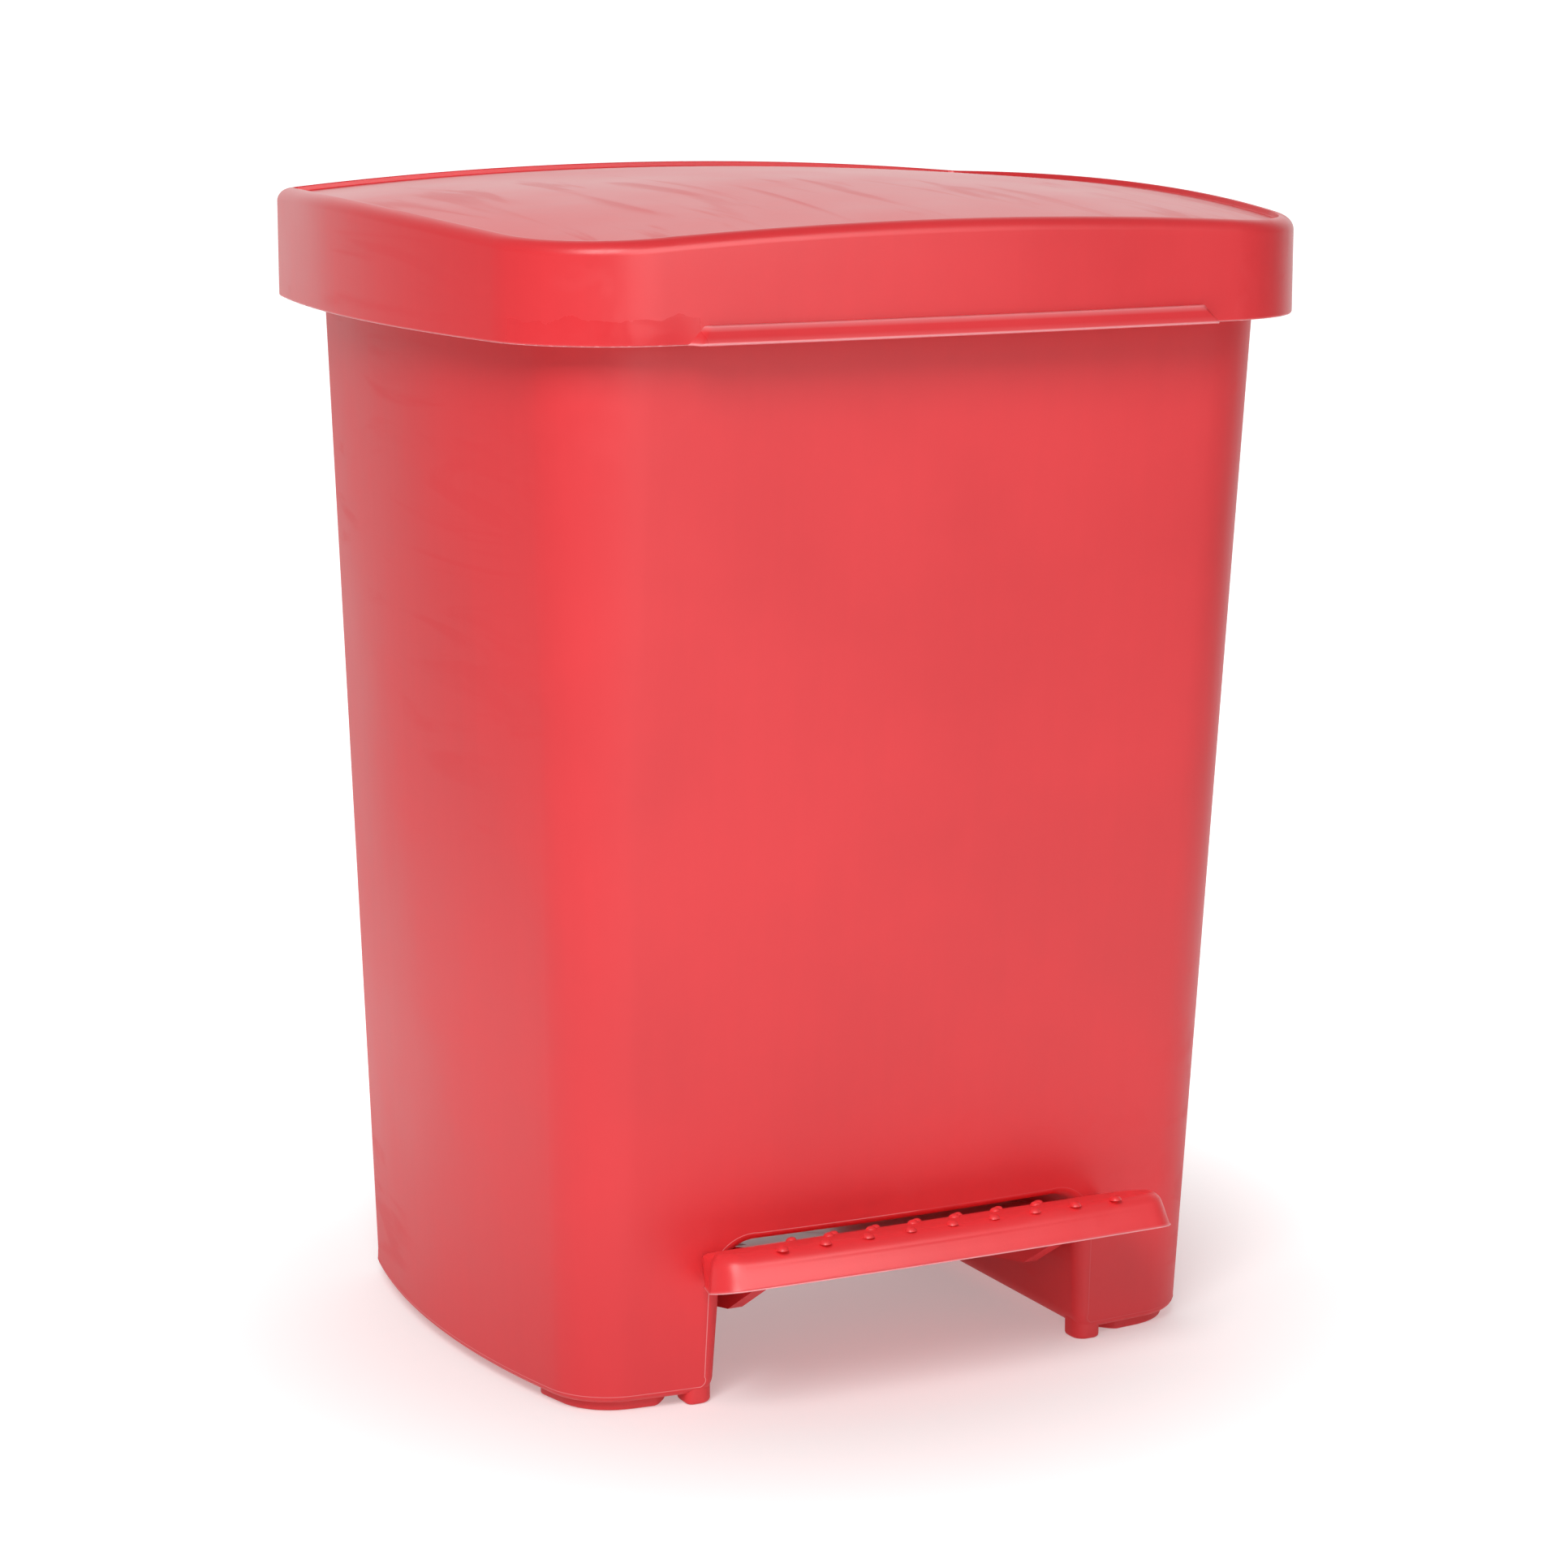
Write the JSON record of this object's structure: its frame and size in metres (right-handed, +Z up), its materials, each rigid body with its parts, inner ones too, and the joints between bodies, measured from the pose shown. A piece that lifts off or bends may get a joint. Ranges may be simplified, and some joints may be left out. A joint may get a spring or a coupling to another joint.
{
  "type": "step-on waste bin",
  "caption": "Tapered moulded step-on waste bin with a domed hinged lid, and a wide pedal in a floor-level tunnel that lifts the lid through a rod in the back wall.",
  "frame": {"origin": "centre of the bin's footprint on the floor, midway between the front of the lid's grip lip and the back of the lid", "axes": "+X to the bin's left as seen from behind (right as seen from the front), -Y towards the pedal, +Z up"},
  "size_m": [0.34, 0.2876, 0.447],
  "materials": {
    "container_red": "fine satin moulded polypropylene",
    "lid_red": "satin moulded polypropylene, slightly glossier skirt",
    "pedal_red": "satin moulded polypropylene with raised dots",
    "inner_red": "satin moulded polypropylene",
    "ring_red": "satin moulded polypropylene",
    "steel_rod": "drawn zinc-plated steel",
    "steel_fasteners": "zinc-plated steel"
  },
  "bodies": {
    "container": {"body_shell": "container_red", "rear_cover": "container_red", "cover_screws": "steel_fasteners", "rod_guide_lower": "inner_red", "rod_guide_upper": "inner_red", "hinge_pin_left": "steel_rod", "hinge_pin_right": "steel_rod", "pedal_axle": "steel_rod", "pedal_bearing_left": "inner_red", "pedal_bearing_right": "inner_red", "foot_front_left": "container_red", "foot_front_right": "container_red", "foot_rear_left": "container_red", "foot_rear_right": "container_red", "bag_ring": "ring_red"},
    "lid": {"lid_shell": "lid_red", "lift_bracket": "inner_red", "bracket_screws": "steel_fasteners"},
    "pedal": {"pedal_tread": "pedal_red", "pedal_arm_left": "inner_red", "pedal_arm_right": "inner_red", "lift_bar": "steel_rod", "bar_clips": "steel_fasteners"},
    "lifter": {"lift_rod": "steel_rod", "rod_foot": "inner_red", "rod_head": "inner_red", "head_pin": "steel_rod"}
  },
  "joints": [
    {"name": "lid_hinge", "type": "hinge", "parent": "container", "child": "lid", "pos_m": [0, 0.1343, 0.403], "axis": [-1, 0, 0], "range_deg": [0, 74.8]},
    {"name": "pedal_hinge", "type": "hinge", "parent": "container", "child": "pedal", "pos_m": [0, 0.0218, 0.025], "axis": [1, 0, 0], "range_deg": [0, 14.25]},
    {"name": "rod_slide", "type": "slide", "parent": "container", "child": "lifter", "axis": [0, 0, 1], "range_m": [0, 0.0235]}
  ],
  "couplings": [
    {"joint": "pedal_hinge", "follows": "lid_hinge", "ratio": 0.19048},
    {"joint": "rod_slide", "follows": "lid_hinge", "m_per_rad": 0.018}
  ]
}
